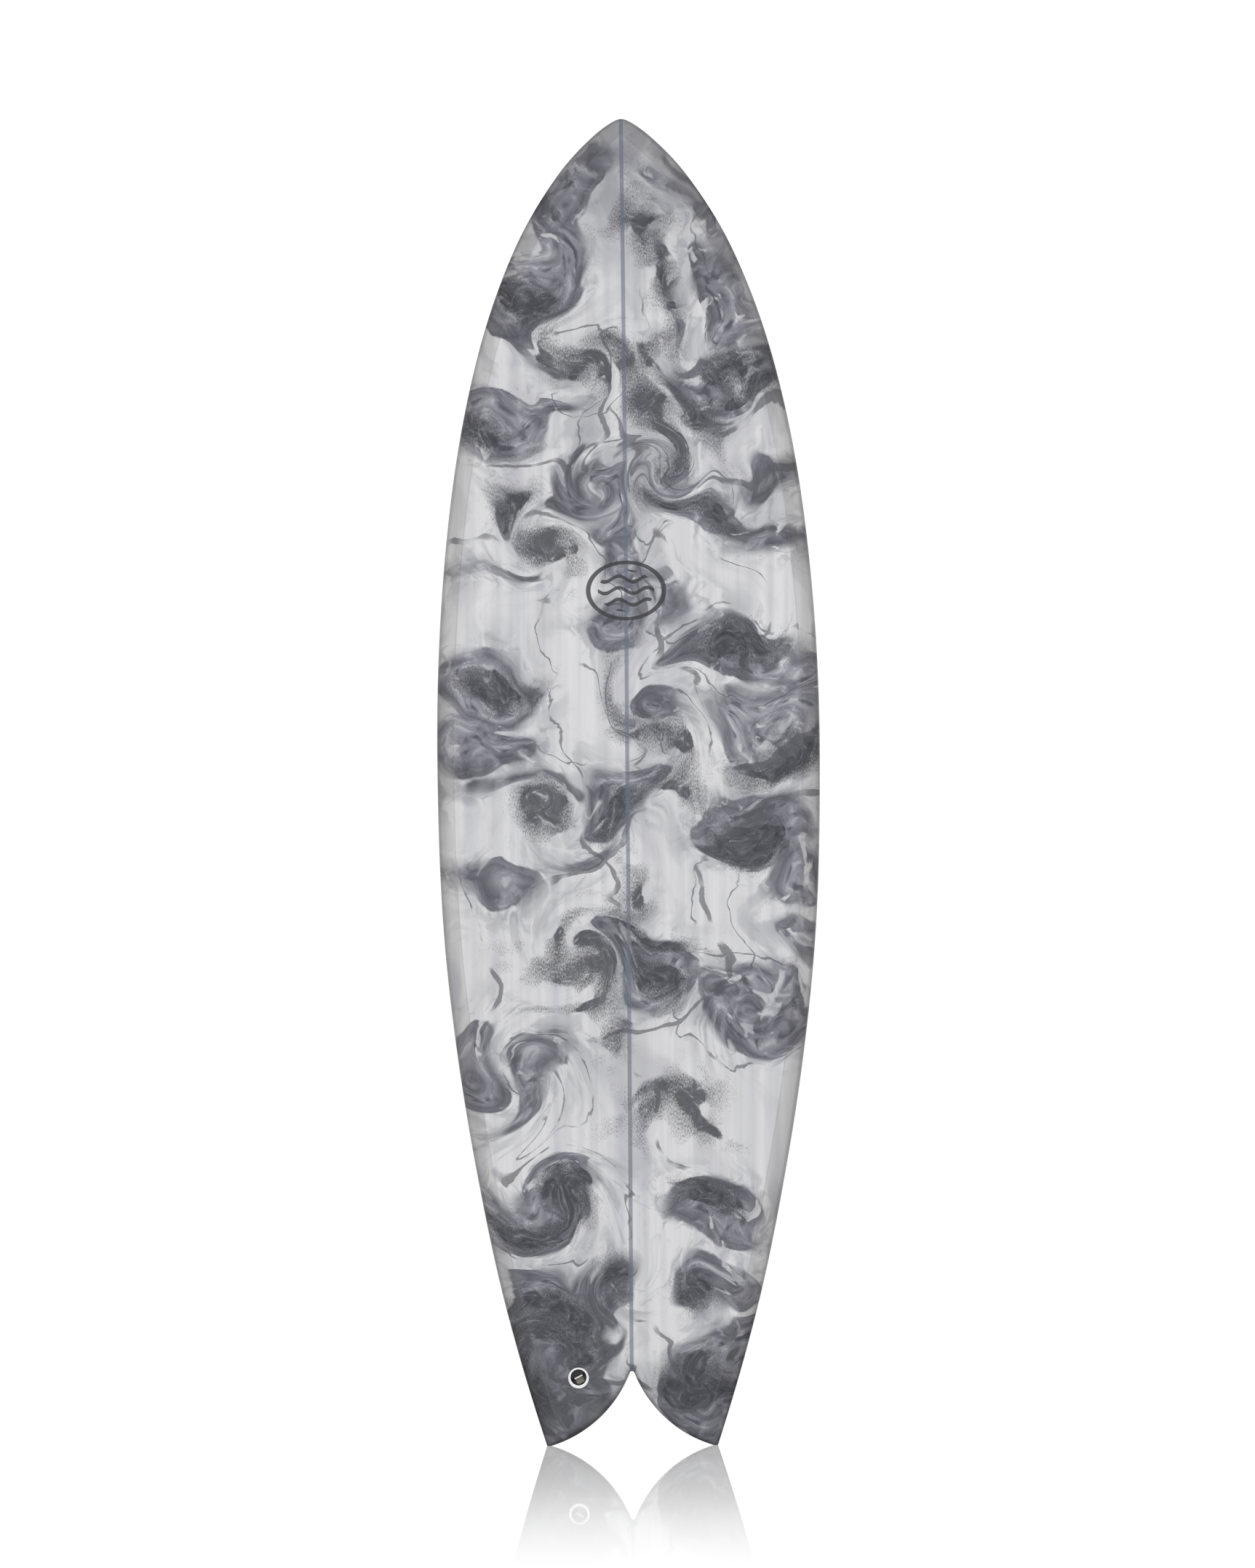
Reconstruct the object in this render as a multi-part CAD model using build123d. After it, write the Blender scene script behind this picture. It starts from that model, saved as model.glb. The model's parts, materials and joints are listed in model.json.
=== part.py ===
"""Swallow-tailed twin-keel surfboard: foam blank, wooden stringer, glass skins, leash plug and fins.

Millimetres. +Z runs from the tail tips to the nose, the deck faces -Y and the bottom faces +Y. The
stringer lies in the plane x = 0, and the board stands on its two tail tips at z = 0.
"""
import math
import os

from build123d import *

# --- Driving dimensions -----------------------------------------------------------------------
LENGTH = 1829.0  # 6 ft from the tail tips to the nose
DATUM_Y = 12.2  # the bottom's low point lies this far behind the middle of the whole object
NOSE_ROCKER = 114.0
TAIL_ROCKER = 45.0
LOW_POINT_Z = 880.0
NOSE_CURVE = 2.6  # exponents of the two rocker curves
TAIL_CURVE = 2.2

# Plan and thickness: distance from the nose, half width, thickness
STATIONS = [
    (0.0, 0.0, 2.0),
    (5.0, 13.5, 8.5),
    (25.0, 40.5, 14.0),
    (75.0, 87.5, 20.0),
    (185.0, 153.5, 30.5),
    (336.0, 206.5, 43.0),
    (537.0, 244.5, 54.0),
    (888.0, 264.8, 63.3),
    (1189.0, 251.3, 58.5),
    (1440.0, 215.5, 47.5),
    (1640.0, 173.5, 36.0),
    (LENGTH, 118.0, 15.0),
]
LOFT_SECTIONS = 30
NOSE_CAP = 0.3  # the lofts stop this far short of the nose point
HALVINGS = 40  # steps in finding a point of the surface
SLOPE_SPAN = 1.0  # a slope is taken over this length

# Cross-section: each quarter is a cubic curve, and these set how full it is
RAIL_SHARE = 0.4  # the rail's widest point, as a share of the thickness above the bottom
DECK_FULLNESS = (0.62, 0.78)
BOTTOM_FULLNESS = (0.80, 0.97)

GLASS = 1.0
BOND = 0.05  # resin line between the foam and the glass
STRINGER_WIDTH = 5.0
LAP_INSET = 24.0  # the cut-lap line lies this far inside the outline
LAP_NOSE = 44.0  # its nose, below the board's
LAP_NOSE_GAP = 25.0  # no other point of the line this close to its nose
TAIL_FLARE = 0.35  # slope of the outline at the tail
RAIL_POINTS = 13
FOAM_ENDS = 4.0  # the foam is shorter than the board by this many glass thicknesses
TIP_HEIGHT = 6.0  # solid resin at the foot of each tail lobe

# Swallow tail: each lobe's inner edge is an arc, and a small round joins the two
LOBE_CENTRE = (160.0, 161.0)
LOBE_RADIUS = 168.0
NOTCH_RADIUS = 3.5
NOTCH_ROUND = 1.5  # of its deck edge

# Leash plug
LEASH_X = -73.6
LEASH_Z = 93.8
LEASH_RADIUS = 14.45
LEASH_DEPTH = 16.0  # to the outside of the cup's floor
FLANGE_DEPTH = 3.0
CUP_RADIUS = 11.15  # inside
CUP_WALL = 1.5
CUP_OFFSET_Z = 0.9  # the cup sits a little nose-ward in its flange
PIN_RADIUS = 1.6
PIN_ANGLE = 27.0
PIN_DEPTH = 5.5
PIN_SHIFT_Z = 1.3
PAD_SIZE = (11.0, 2.4, 8.0)
PAD_SHIFT = (1.7, -4.2)
PAD_ROUND = 2.0
SETTING_WALL = 1.5

# Fin plugs and fins, placed from the middle of each fin's base
FIN_X = 143.0
FIN_Z = 236.0
FIN_CANT = 4.0
FIN_TOE = 1.2
PLUG_SPACING = 70.0
PLUG_RADIUS = 14.0
PLUG_DEPTH = 16.0
SOCKET = (15.0, 7.0, 13.0)  # along the fin, across it, deep
TAB = (14.4, 6.4, 12.4)
SCREW_RADIUS = 2.5
SCREW_LENGTH = 7.0
SCREW_LEAN = 35.0
HEX_ACROSS = 2.5
SCREW_TIP_RADIUS = 1.25
SCREW_TIP_DEPTH = 8.0
SCREW_CLEARANCE = 0.2
FIN_GAP = 0.5  # between the bottom and the fin's base
FIN_HEIGHT = 127.0
FIN_THICKNESS = 7.6
FIN_TRAILING_EDGE = 1.0
FIN_SECTIONS = 14
FIN_TIP = 0.5  # square root of the distance from the last section to the tip
FIN_THINNING = 0.4
# Control points of the cambered face: share of the chord, and shares of the thickness
FIN_BELLY = (0.4, 1.1, 1.35)
TAB_ROOT = 1.0  # the tab runs this far into the fin
# Square root of the distance below the fin's tip, then the place of the edge along the base
FIN_LEADING = [(0.0, -72.0), (2.0, -46.0), (5.0, 6.0), (8.5, 57.0), (11.27, 82.0)]
FIN_TRAILING = [(0.0, -73.0), (2.0, -85.5), (4.0, -86.5), (7.0, -79.0), (9.5, -75.0), (11.27, -83.0)]

FAR = 400.0  # reaches past the whole board


def through(points, at):
    """The smooth curve through (place, value) points, with a parabola's slope at each point."""
    steps = [b[0] - a[0] for a, b in zip(points, points[1:])]
    rises = [(b[1] - a[1]) / step for a, b, step in zip(points, points[1:], steps)]
    slopes = [rises[0] + (rises[0] - rises[1]) * steps[0] / (steps[0] + steps[1])]
    for i in range(1, len(steps)):
        share = steps[i] / (steps[i - 1] + steps[i])
        slopes.append(rises[i - 1] * share + rises[i] * (1 - share))
    slopes.append(rises[-1] + (rises[-1] - rises[-2]) * steps[-1] / (steps[-1] + steps[-2]))
    i = next((k for k in range(len(steps)) if at <= points[k + 1][0]), len(steps) - 1)
    t = (at - points[i][0]) / steps[i]
    bend = (1 - t) * slopes[i] - t * slopes[i + 1] + (2 * t - 1) * rises[i]
    return points[i][1] + steps[i] * t * (rises[i] + (1 - t) * bend)


# --- The board's surfaces ---------------------------------------------------------------------
def half_width(z):
    return through([(math.sqrt(row[0]), row[1]) for row in STATIONS], math.sqrt(LENGTH - z))


def thickness(z):
    return through([(math.sqrt(row[0]), row[2]) for row in STATIONS], math.sqrt(LENGTH - z))


def bottom_y(z):
    """The bottom along the stringer."""
    if z < LOW_POINT_Z:
        return DATUM_Y - TAIL_ROCKER * ((LOW_POINT_Z - z) / LOW_POINT_Z) ** TAIL_CURVE
    return DATUM_Y - NOSE_ROCKER * ((z - LOW_POINT_Z) / (LENGTH - LOW_POINT_Z)) ** NOSE_CURVE


def rail_y(z):
    """The widest point of the rail."""
    return bottom_y(z) - RAIL_SHARE * thickness(z)


def quarter(z, side, deck, inset):
    """Control points of one cubic quarter of the section at z, from the rail to the stringer."""
    half = side * (half_width(z) - inset)
    if deck:
        rise = inset - (1 - RAIL_SHARE) * thickness(z)
        full_rail, full_middle = DECK_FULLNESS
    else:
        rise = RAIL_SHARE * thickness(z) - inset
        full_rail, full_middle = BOTTOM_FULLNESS
    rail = rail_y(z)
    flat = rail + rise
    return [(half, rail), (half, rail + full_rail * rise), (full_middle * half, flat), (0.0, flat)]


def surface_y(x, z, deck):
    """The outer surface at (x, z), found by halving along the quarter curve."""
    points = quarter(z, 1.0, deck, 0.0)
    low, high = 0.0, 1.0
    for _ in range(HALVINGS):
        t = (low + high) / 2
        weights = ((1 - t) ** 3, 3 * t * (1 - t) ** 2, 3 * t * t * (1 - t), t**3)
        at_x = sum(w * p[0] for w, p in zip(weights, points))
        low, high = (t, high) if at_x > abs(x) else (low, t)
    return sum(w * p[1] for w, p in zip(weights, points))


def section_wire(z, height, inset):
    """The closed section at z, drawn at height."""
    edges = []
    for side, deck in ((1, True), (-1, True), (-1, False), (1, False)):
        points = [(x, y, height) for x, y in quarter(z, side, deck, inset)]
        to_rail = side < 0 if deck else side > 0
        edges.append(Edge.make_bezier(*(reversed(points) if to_rail else points)))
    return Wire(edges)


def hull(inset):
    """The board's body, or the foam inside it, lofted from the tail to the nose, without a notch."""
    wires = []
    last = math.sqrt(LENGTH)
    first = math.sqrt(NOSE_CAP)
    for i in range(LOFT_SECTIONS):
        z = LENGTH - (last + (first - last) * i / (LOFT_SECTIONS - 1)) ** 2
        height = inset + z * (LENGTH - FOAM_ENDS * inset) / LENGTH
        wires.append(section_wire(max(z, 0.0), height, inset))
    return Solid.make_loft(wires)


def notch(grow):
    """The prism that cuts the swallow tail, grown sideways."""
    (arc_x, arc_z), radius, root = LOBE_CENTRE, LOBE_RADIUS - grow, NOTCH_RADIUS + grow
    root_z = arc_z - math.sqrt((LOBE_RADIUS + NOTCH_RADIUS) ** 2 - arc_x**2)
    turn = math.atan2(arc_z - root_z, arc_x)
    start = (root * math.cos(turn), root_z + root * math.sin(turn))
    end = (arc_x, arc_z - radius)
    if radius > arc_z:
        end = (arc_x - math.sqrt(radius**2 - arc_z**2), 0.0)
    swing = (turn + math.pi + math.atan2(end[1] - arc_z, end[0] - arc_x) % (2 * math.pi)) / 2
    middle = (arc_x + radius * math.cos(swing), arc_z + radius * math.sin(swing))
    right = [(x, 0, z) for x, z in (start, middle, end)]
    left = [(-x, 0, z) for x, _, z in right]
    foot = -FAR
    edges = [
        Edge.make_three_point_arc(left[0], (0, 0, root_z + root), right[0]),
        Edge.make_three_point_arc(*right),
        Edge.make_line(right[2], (end[0], 0, foot)),
        Edge.make_line((end[0], 0, foot), (-end[0], 0, foot)),
        Edge.make_line((-end[0], 0, foot), left[2]),
        Edge.make_three_point_arc(*reversed(left)),
    ]
    return extrude(Face(Wire(edges)), amount=FAR, dir=(0, 1, 0), both=True)


def round_notch(board):
    """Rounds the deck edge of the notch."""
    edges = []
    for edge in board.edges():
        middle = edge.position_at(0.5)
        in_notch = abs(middle.X) < LOBE_CENTRE[0] / 2 and 0 < middle.Z < LOBE_CENTRE[1]
        if in_notch and middle.Y < rail_y(middle.Z) and edge.geom_type != GeomType.LINE:
            edges.append(edge)
    return board.fillet(NOTCH_ROUND, edges)


def bored(centre, radius, near_y, far_y):
    """A cylinder along Y between two depths, at centre (x, z)."""
    middle = Pos(centre[0], (near_y + far_y) / 2, centre[1])
    return middle * Rot(90, 0, 0) * Cylinder(radius, abs(far_y - near_y))


# --- Foam, stringer and glass -----------------------------------------------------------------
def lap_prism():
    """The part of the deck inside the cut-lap line, down to the middle of the rails."""
    right = []
    for row in STATIONS[2:]:
        z = LENGTH - row[0]
        span = half_width(z + SLOPE_SPAN / 2) - half_width(max(z - SLOPE_SPAN / 2, 0.0))
        slope = span / SLOPE_SPAN if z > SLOPE_SPAN else TAIL_FLARE
        length = math.hypot(1, slope)
        right.append((row[1] - LAP_INSET / length, 0, z + LAP_INSET * slope / length))
    right = [(0, 0, LENGTH - LAP_NOSE)] + [p for p in right if p[2] < LENGTH - LAP_NOSE - LAP_NOSE_GAP]
    left = [(-x, 0, z) for x, _, z in right]
    foot = Edge.make_line(right[-1], left[-1])
    plan = Face(Wire([Edge.make_spline(right), foot, Edge.make_spline(left)]))
    heights = [LENGTH * i / (RAIL_POINTS - 1) for i in range(RAIL_POINTS)]
    middle = Edge.make_spline([(0, rail_y(z), z) for z in heights])
    corners = [middle @ 1, (0, -FAR, LENGTH), (0, -FAR, 0), middle @ 0]
    walls = [Edge.make_line(a, b) for a, b in zip(corners, corners[1:])]
    deck_side = extrude(Face(Wire([middle] + walls)), amount=FAR, dir=(1, 0, 0), both=True)
    prism = extrude(plan, amount=FAR, dir=(0, 1, 0), both=True)
    return prism & deck_side


def slab(low, high, axis):
    """Everything between two planes across an axis (0 for X, 2 for Z)."""
    size = [2 * LENGTH + FAR] * 3
    centre = [0.0, 0.0, 0.0]
    size[axis] = high - low
    centre[axis] = (low + high) / 2
    return Pos(*centre) * Box(*size)


def board_pieces():
    """The bare board: outer body, foam halves, stringer, glass and tail tips."""
    outer = round_notch(hull(0.0) - notch(0.0))
    inner = hull(GLASS) - notch(GLASS)
    foam = hull(GLASS + BOND) - notch(GLASS + BOND)
    above_tips = slab(TIP_HEIGHT, 2 * LENGTH, 2)
    lap = lap_prism() - notch(LAP_INSET)
    core = foam & above_tips
    shell = (outer & above_tips) - inner
    half = STRINGER_WIDTH / 2
    pieces = {
        "foam_blank_left": core & slab(-FAR, -half, 0),
        "foam_blank_right": core & slab(half, FAR, 0),
        "stringer": core & slab(-half, half, 0),
        "deck_glass": shell & lap,
        "bottom_glass": shell - lap,
    }
    feet = outer - above_tips
    pieces["tail_tip_left"] = feet & slab(-FAR, 0, 0)
    pieces["tail_tip_right"] = feet & slab(0, FAR, 0)
    return outer, core, pieces


# --- Leash plug -------------------------------------------------------------------------------
def leash_pieces(core, outer):
    """Flange, cup, pin, floor pad and resin setting, sunk into the deck along Y."""
    top = surface_y(LEASH_X, LEASH_Z, deck=True)
    at = (LEASH_X, LEASH_Z)
    cup_at = (LEASH_X, LEASH_Z + CUP_OFFSET_Z)
    outside = top - LEASH_DEPTH
    under_flange = top + FLANGE_DEPTH
    floor = top + LEASH_DEPTH - CUP_WALL
    well = bored(cup_at, CUP_RADIUS, outside, floor)
    flange = (bored(at, LEASH_RADIUS, outside, under_flange) & outer) - well
    solid_cup = bored(cup_at, CUP_RADIUS + CUP_WALL, under_flange, top + LEASH_DEPTH)
    pin_at = Pos(LEASH_X, top + PIN_DEPTH, LEASH_Z + PIN_SHIFT_Z) * Rot(0, -PIN_ANGLE, 0)
    pin = pin_at * Rot(0, 90, 0) * Cylinder(PIN_RADIUS, 2 * CUP_RADIUS + CUP_WALL)
    cup = solid_cup - well - pin
    pad_place = Pos(cup_at[0] + PAD_SHIFT[0], floor - PAD_SIZE[1] / 2, cup_at[1] + PAD_SHIFT[1])
    pad = pad_place * Rot(0, -PIN_ANGLE, 0) * Box(*PAD_SIZE)
    pad = pad.fillet(PAD_ROUND, pad.edges().filter_by(Axis.Y))
    setting_radius = LEASH_RADIUS + SETTING_WALL
    setting = bored(at, setting_radius, outside, top + LEASH_DEPTH + SETTING_WALL) & core
    setting -= bored(at, LEASH_RADIUS, outside, under_flange) + solid_cup
    pieces = {
        "leash_plug_flange": flange,
        "leash_plug_cup": cup,
        "leash_plug_pin": pin,
        "leash_plug_pad": pad,
        "leash_plug_setting": setting,
    }
    glass_hole = bored(at, LEASH_RADIUS, outside, top + LEASH_DEPTH)
    foam_hole = bored(at, setting_radius, outside, top + LEASH_DEPTH + SETTING_WALL)
    return pieces, glass_hole, foam_hole


# --- Fins and their plugs ---------------------------------------------------------------------
def fin_plane(side):
    """The plane of a fin's base: x towards the nose, z out of the bottom, y towards +X."""
    rise = (bottom_y(FIN_Z + SLOPE_SPAN / 2) - bottom_y(FIN_Z - SLOPE_SPAN / 2)) / SLOPE_SPAN
    cant, toe = math.radians(FIN_CANT), math.radians(FIN_TOE)
    along = Vector(0, rise, 1).normalized() * math.cos(toe) - Vector(side * math.sin(toe), 0, 0)
    out = Vector(0, 1, -rise).normalized() * math.cos(cant) + Vector(side * math.sin(cant), 0, 0)
    along = along - out * along.dot(out)
    base = (side * FIN_X, surface_y(FIN_X, FIN_Z, deck=False), FIN_Z)
    return Plane(origin=base, x_dir=along, z_dir=out)


def fin(side):
    """A keel fin: flat inside, cambered outside, with two tabs."""
    whole = math.sqrt(FIN_HEIGHT)
    inside = -side * FIN_THICKNESS / 2
    wires = []
    for i in range(FIN_SECTIONS):
        depth = whole + (FIN_TIP - whole) * i / (FIN_SECTIONS - 1)
        height = FIN_GAP + FIN_HEIGHT - depth**2
        lead, trail = through(FIN_LEADING, depth), through(FIN_TRAILING, depth)
        bulge = side * FIN_THICKNESS * (depth / whole) ** FIN_THINNING
        thin = side * FIN_TRAILING_EDGE
        chord = lead - trail
        camber = Edge.make_bezier(
            (trail, inside + thin, height),
            (trail + FIN_BELLY[0] * chord, inside + FIN_BELLY[1] * bulge, height),
            (lead, inside + FIN_BELLY[2] * bulge, height),
            (lead, inside, height),
        )
        flat = Edge.make_line((lead, inside, height), (trail, inside, height))
        heel = Edge.make_line((trail, inside, height), (trail, inside + thin, height))
        wires.append(Wire([camber, flat, heel]))
    blade = Solid.make_loft(wires)
    for end in (-1, 1):
        length, width, deep = TAB
        middle = FIN_GAP + (TAB_ROOT - deep) / 2
        blade += Pos(end * PLUG_SPACING / 2, 0, middle) * Box(length, width, deep + TAB_ROOT)
    return blade


def fin_plug(side, end, outer):
    """One fin plug, its grub screw, its resin setting and the hole for them."""
    at = Pos(end * PLUG_SPACING / 2, 0, 0)
    lean = math.radians(SCREW_LEAN)
    point = SCREW_RADIUS - SCREW_TIP_RADIUS
    reach = SCREW_RADIUS * math.cos(lean) - point * math.sin(lean)
    tip_y = TAB[1] / 2 + SCREW_CLEARANCE + reach
    screw_at = at * Pos(0, -side * tip_y, -SCREW_TIP_DEPTH) * Rot(side * SCREW_LEAN, 0, 0)
    screw = Pos(0, 0, point / 2) * Cone(SCREW_TIP_RADIUS, SCREW_RADIUS, point)
    screw += Pos(0, 0, (point + SCREW_LENGTH) / 2) * Cylinder(SCREW_RADIUS, SCREW_LENGTH - point)
    hexagon = RegularPolygon(HEX_ACROSS / 2, 6, major_radius=False)
    screw -= extrude(Pos(0, 0, SCREW_LENGTH) * hexagon, amount=-HEX_ACROSS)
    top = PLUG_DEPTH / 2
    body = at * Pos(0, 0, (top - PLUG_DEPTH) / 2) * Cylinder(PLUG_RADIUS, PLUG_DEPTH + top)
    length, width, deep = SOCKET
    socket = at * Pos(0, 0, (top - deep) / 2) * Box(length, width, deep + top)
    screw_hole = screw_at * Pos(0, 0, PLUG_DEPTH / 2) * Cylinder(SCREW_RADIUS, PLUG_DEPTH)
    around = PLUG_RADIUS + SETTING_WALL
    hole = at * Pos(0, 0, (top - PLUG_DEPTH - SETTING_WALL) / 2)
    hole = hole * Cylinder(around, PLUG_DEPTH + SETTING_WALL + top)
    place = fin_plane(side).location
    hole, body, cuts = place * hole, place * body, place * (socket + screw_hole)
    return (body & outer) - cuts, place * screw_at * screw, (hole & outer) - body, hole


def fin_pieces(side, name, outer):
    pieces = {f"keel_fin_{name}": fin_plane(side).location * fin(side)}
    holes = []
    for end, where in ((1, "front"), (-1, "rear")):
        plug, screw, setting, hole = fin_plug(side, end, outer)
        pieces[f"fin_plug_{name}_{where}"] = plug
        pieces[f"fin_screw_{name}_{where}"] = screw
        pieces[f"fin_setting_{name}_{where}"] = setting
        holes.append(hole)
    return pieces, holes


def build():
    outer, core, pieces = board_pieces()
    leash, glass_hole, foam_hole = leash_pieces(core, outer)
    pieces["deck_glass"] -= glass_hole
    pieces["foam_blank_left"] -= foam_hole
    for side, name in ((-1, "left"), (1, "right")):
        fins, holes = fin_pieces(side, name, outer)
        for hole in holes:
            pieces["bottom_glass"] -= hole
            pieces[f"foam_blank_{name}"] -= hole
        pieces.update(fins)
    pieces.update(leash)
    return pieces


def main():
    os.makedirs("parts", exist_ok=True)
    for name, piece in build().items():
        export_step(piece, f"parts/{name}.step")


if __name__ == "__main__":
    main()
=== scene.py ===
import json
import math

import bmesh
import bpy
import numpy as np
from mathutils import Matrix, Vector


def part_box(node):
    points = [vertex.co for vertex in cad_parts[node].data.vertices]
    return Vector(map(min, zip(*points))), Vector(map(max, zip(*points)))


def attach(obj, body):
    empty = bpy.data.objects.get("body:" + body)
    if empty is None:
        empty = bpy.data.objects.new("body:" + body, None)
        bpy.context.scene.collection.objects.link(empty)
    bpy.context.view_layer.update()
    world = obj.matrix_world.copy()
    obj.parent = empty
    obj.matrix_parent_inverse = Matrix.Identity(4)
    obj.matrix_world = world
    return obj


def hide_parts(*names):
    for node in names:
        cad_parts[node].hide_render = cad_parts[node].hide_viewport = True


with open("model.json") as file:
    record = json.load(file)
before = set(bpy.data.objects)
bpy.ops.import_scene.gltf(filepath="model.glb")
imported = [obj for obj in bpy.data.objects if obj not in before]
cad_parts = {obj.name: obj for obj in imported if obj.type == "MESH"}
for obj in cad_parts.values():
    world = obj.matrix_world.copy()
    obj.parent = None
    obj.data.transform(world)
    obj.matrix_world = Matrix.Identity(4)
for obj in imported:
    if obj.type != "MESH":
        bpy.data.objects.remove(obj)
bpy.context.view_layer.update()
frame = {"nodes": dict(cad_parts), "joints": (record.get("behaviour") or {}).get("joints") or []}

# The surfboard's look. The glass skins, the foam and the stringer are rebuilt as fine meshes from the
# board's driving sizes, and the CAD's plugs, screws and fins stay. Every finish is a node material.
MM = 0.001

# --- The board's driving sizes, in millimetres ------------------------------------------------------
# They are the CAD model's, but the widest station, the nose and the datum differ by up to 0.2 mm, so
# that these finer meshes stay inside the CAD's box, and the glass and the notch have sizes of their own.
LENGTH = 1829.0
DATUM_Y = 12.22  # the bottom's low point lies this far behind the middle of the whole object
NOSE_ROCKER, NOSE_CURVE = 114.0, 2.6
TAIL_ROCKER, TAIL_CURVE = 45.0, 2.2
LOW_POINT_Z = 880.0
# Distance from the nose, half width, thickness
STATIONS = [
    (0.0, 0.0, 2.0),
    (5.0, 13.5, 8.5),
    (25.0, 40.5, 14.0),
    (75.0, 87.5, 20.0),
    (185.0, 153.5, 30.5),
    (336.0, 206.5, 43.0),
    (537.0, 244.5, 54.0),
    (888.0, 264.6, 63.3),
    (1189.0, 251.3, 58.5),
    (1440.0, 215.5, 47.5),
    (1640.0, 173.5, 36.0),
    (LENGTH, 118.0, 15.0),
]
RAIL_SHARE = 0.4  # the rail's widest point, as a share of the thickness above the bottom
DECK_FULLNESS = (0.62, 0.78)
BOTTOM_FULLNESS = (0.80, 0.97)
STRINGER_WIDTH = 5.0
LAP_INSET = 24.0  # the cut-lap line lies this far inside the outline
NOSE_CAP = 0.4  # the meshes stop this far short of the nose point
# Swallow tail: each lobe's inner edge is an arc, and a small round joins the two
LOBE_CENTRE = (160.0, 161.0)
LOBE_RADIUS = 168.0
NOTCH_RADIUS = 3.5
NOTCH_ROUND = 8.0  # how far the deck rolls over into the notch
NOTCH_HEEL = 1.5  # the same on the bottom
ROLL_SHARE = 0.42  # the most of the board's depth that either roll may take
SKIN = 0.9  # the glass's thickness
CORE_DEPTH = 1.05  # of the foam, below the outside of the glass
CORE_TOP = 5.0  # the foam ends this far below the nose

# Holes, each from near to far along its axis, from the middle of its flange or plug
LEASH_HOLE = {"radius": 14.45, "near": -20.0, "far": 16.0}
LEASH_CORE_RADIUS = 15.95
PLUG_HOLE = {"radius": 15.5, "near": -12.0, "far": 30.0}
HOLE_SIDES = 96
PIN_TURN = 27.0  # degrees from level of the pin across the leash cup

# Mesh rows and columns
LOBE_ROWS, ROOT_ROWS, NOSE_ROWS = 30, 7, 135
ABOVE_ROOT = (0.5, 1.2, 2.2, 3.6, 5.2, 7.2, 10.0, 14.0, 19.0, 25.0)
ROW_STEP = 8.0  # from those rows to the first of the evenly spread ones
FROM_NOTCH = (0, 0.25, 1.0, 2.2, 3.8, 5.6, 8, 11, 15, 19.5, LAP_INSET)
FROM_RAIL = (LAP_INSET, 19, 14, 10, 7, 4.8, 3.1, 1.9, 1.0, 0.45, 0.12, 0)
MIDDLE_STRIPS = 17  # between the columns that follow the notch and those that follow the rail
MIDDLE_BAND = (0.4, 0.6)  # where those columns meet if they would cross, as shares of the width
WELD = 2e-6  # metres
OUTLINE_POINTS = 1500  # in finding the outline moved in
HALVINGS = 40  # steps in finding a point of the surface


# --- Shape functions, on arrays of heights z --------------------------------------------------------
def through(points, at):
    """The smooth curve through (place, value) points, with a parabola's slope at each point."""
    place, value = np.array(points, float).T
    steps = np.diff(place)
    rises = np.diff(value) / steps
    slopes = np.empty(len(place))
    share = steps[1:] / (steps[:-1] + steps[1:])
    slopes[1:-1] = rises[:-1] * share + rises[1:] * (1 - share)
    slopes[0] = rises[0] + (rises[0] - rises[1]) * steps[0] / (steps[0] + steps[1])
    slopes[-1] = rises[-1] + (rises[-1] - rises[-2]) * steps[-1] / (steps[-1] + steps[-2])
    i = np.clip(np.searchsorted(place, at) - 1, 0, len(steps) - 1)
    t = (at - place[i]) / steps[i]
    bend = (1 - t) * slopes[i] - t * slopes[i + 1] + (2 * t - 1) * rises[i]
    return value[i] + steps[i] * t * (rises[i] + (1 - t) * bend)


def half_width(z):
    """Half the board's width at z."""
    return through([(math.sqrt(row[0]), row[1]) for row in STATIONS], np.sqrt(LENGTH - z))


def thickness(z):
    """The board's greatest thickness at z."""
    return through([(math.sqrt(row[0]), row[2]) for row in STATIONS], np.sqrt(LENGTH - z))


def bottom_y(z):
    """y of the bottom's middle line at z, which curves towards the deck at both ends."""
    tail = TAIL_ROCKER * np.clip((LOW_POINT_Z - z) / LOW_POINT_Z, 0, 1) ** TAIL_CURVE
    nose = NOSE_ROCKER * np.clip((z - LOW_POINT_Z) / (LENGTH - LOW_POINT_Z), 0, 1) ** NOSE_CURVE
    return DATUM_Y - tail - nose


def surface_y(x, z, deck):
    """The board's surface at (x, z), found by halving along its cubic quarter section."""
    width, thick = half_width(z), thickness(z)
    full_rail, full_middle = DECK_FULLNESS if deck else BOTTOM_FULLNESS
    rise = -(1 - RAIL_SHARE) * thick if deck else RAIL_SHARE * thick
    low, high = np.zeros_like(x), np.ones_like(x)
    for _ in range(HALVINGS):
        t = (low + high) / 2
        at_x = width * ((1 - t) ** 3 + 3 * t * (1 - t) ** 2 + 3 * t * t * (1 - t) * full_middle)
        inside = at_x > x
        low, high = np.where(inside, t, low), np.where(inside, high, t)
    across = 3 * t * (1 - t) ** 2 * full_rail + 3 * t * t * (1 - t) + t**3
    return bottom_y(z) - RAIL_SHARE * thick + rise * across


ROOT_Z = LOBE_CENTRE[1] - math.sqrt((LOBE_RADIUS + NOTCH_RADIUS) ** 2 - LOBE_CENTRE[0] ** 2)
ROOT_TURN = math.atan2(LOBE_CENTRE[1] - ROOT_Z, LOBE_CENTRE[0])


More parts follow.
